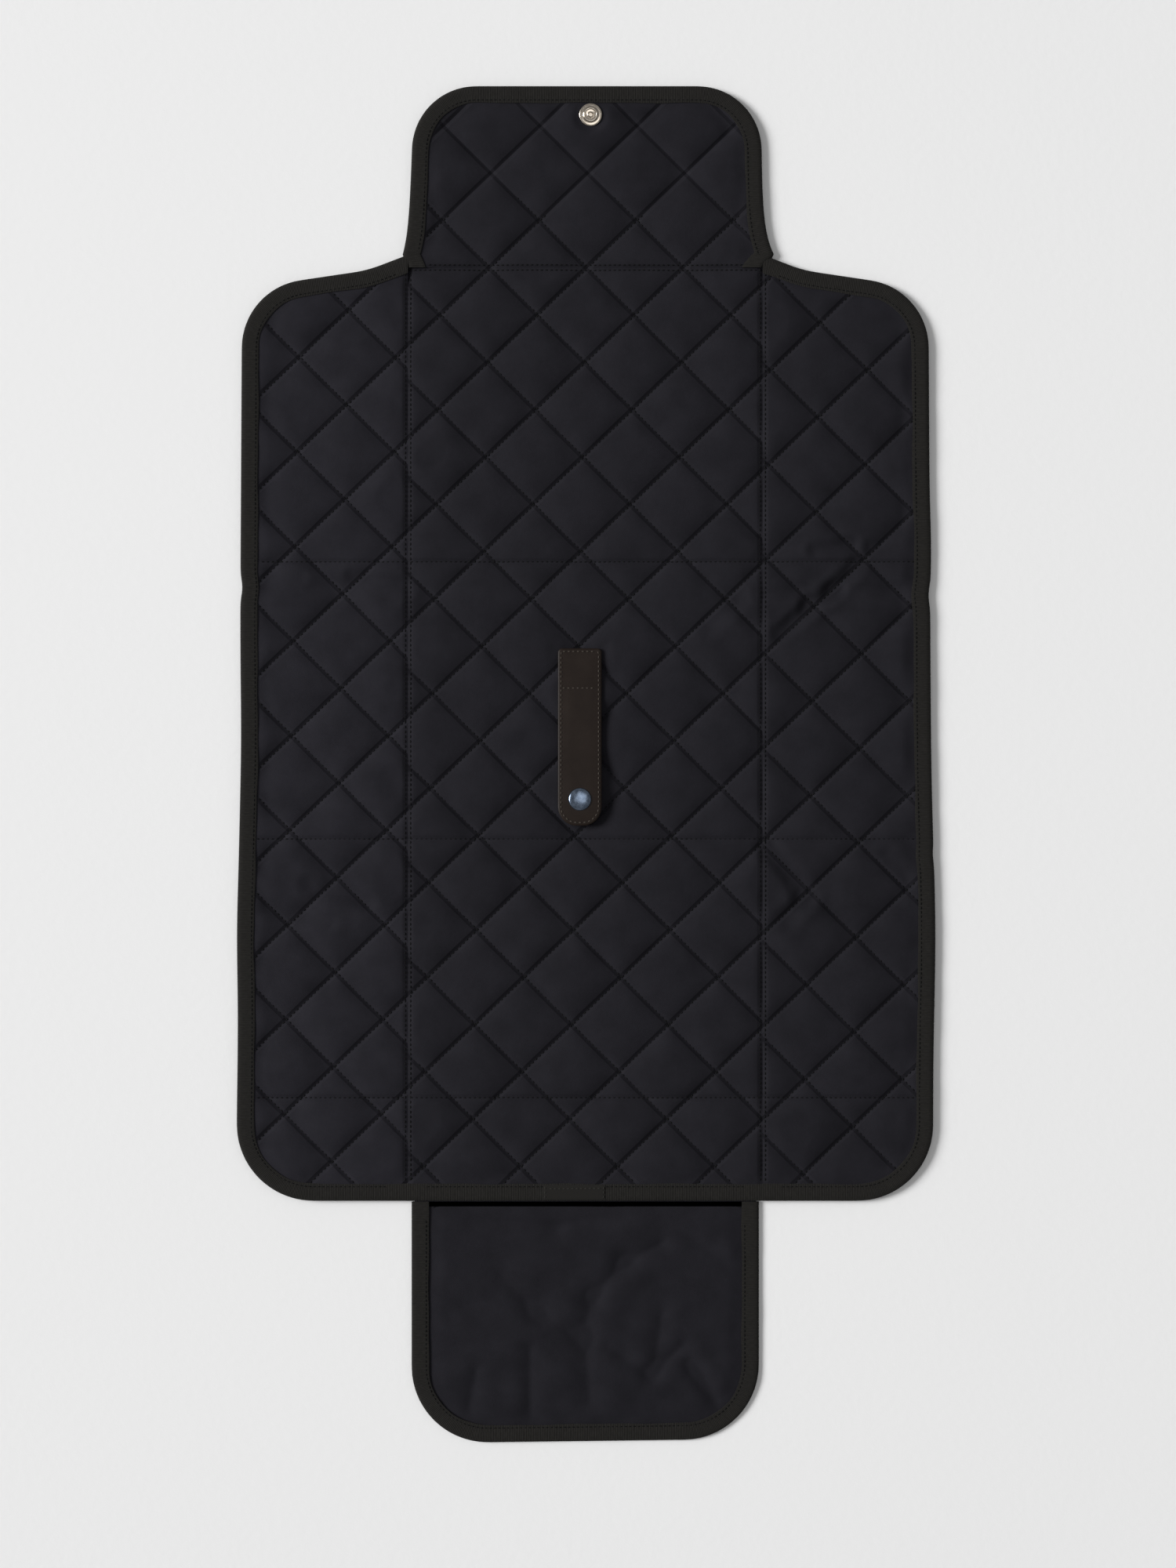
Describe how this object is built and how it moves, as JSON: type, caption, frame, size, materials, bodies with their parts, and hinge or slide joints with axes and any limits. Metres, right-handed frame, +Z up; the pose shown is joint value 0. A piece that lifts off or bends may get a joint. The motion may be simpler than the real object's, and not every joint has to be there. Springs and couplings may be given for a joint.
{
  "type": "baby changing mat",
  "caption": "Fold-out quilted travel changing mat with bound edges, two folding wings, a top flap with a press stud, a plain lower flap and a leather closing tab",
  "frame": {"origin": "on the floor, under the middle of the opened mat", "axes": "+Z up out of the quilted face, +Y towards the top flap, +X towards the right wing"},
  "size_m": [0.4794, 0.934, 0.0117],
  "materials": {
    "quilted_cloth": "matte plain weave, diamond quilted",
    "plain_cloth": "matte plain weave",
    "wadding": "soft non-woven",
    "backing_cloth": "matte coated weave",
    "binding_tape": "ribbed woven tape",
    "leather": "smooth satin, edge stitched",
    "dark_metal": "polished gunmetal",
    "bright_metal": "polished nickel"
  },
  "bodies": {
    "centre": {"centre_face": "quilted_cloth", "centre_wadding": "wadding", "centre_backing": "backing_cloth", "bottom_binding": "binding_tape", "lower_flap_hem": "plain_cloth", "tab_sewn_end_leather": "leather", "tab_sewn_end_lining": "leather"},
    "left_wing": {"left_wing_face": "quilted_cloth", "left_wing_wadding": "wadding", "left_wing_backing": "backing_cloth", "left_wing_binding": "binding_tape"},
    "right_wing": {"right_wing_face": "quilted_cloth", "right_wing_wadding": "wadding", "right_wing_backing": "backing_cloth", "right_wing_binding": "binding_tape"},
    "top_flap": {"top_flap_face": "quilted_cloth", "top_flap_wadding": "wadding", "top_flap_backing": "backing_cloth", "top_flap_binding": "binding_tape", "flap_snap_stud": "bright_metal", "flap_snap_back_plate": "bright_metal"},
    "lower_flap": {"lower_flap_cloth": "plain_cloth", "lower_flap_binding": "binding_tape"},
    "tab": {"tab_leather": "leather", "tab_lining": "leather", "tab_snap_cap": "dark_metal", "tab_snap_socket": "bright_metal"}
  },
  "joints": [
    {"name": "left_wing_fold", "type": "hinge", "parent": "centre", "child": "left_wing", "pos_m": [-0.122, 0, 0.005], "axis": [0, 1, 0], "range_deg": [0, 175]},
    {"name": "right_wing_fold", "type": "hinge", "parent": "centre", "child": "right_wing", "pos_m": [0.122, 0, 0.005], "axis": [0, -1, 0], "range_deg": [0, 175]},
    {"name": "top_flap_fold", "type": "hinge", "parent": "centre", "child": "top_flap", "pos_m": [0, 0.342, 0.005], "axis": [-1, 0, 0], "range_deg": [-175, 0]},
    {"name": "lower_flap_fold", "type": "hinge", "parent": "centre", "child": "lower_flap", "pos_m": [0, -0.3006, 0.0039], "axis": [1, 0, 0], "range_deg": [-174, 0]},
    {"name": "tab_lift", "type": "hinge", "parent": "centre", "child": "tab", "pos_m": [0, 0.0527, 0.0068], "axis": [1, 0, 0], "range_deg": [-165, 0]}
  ]
}
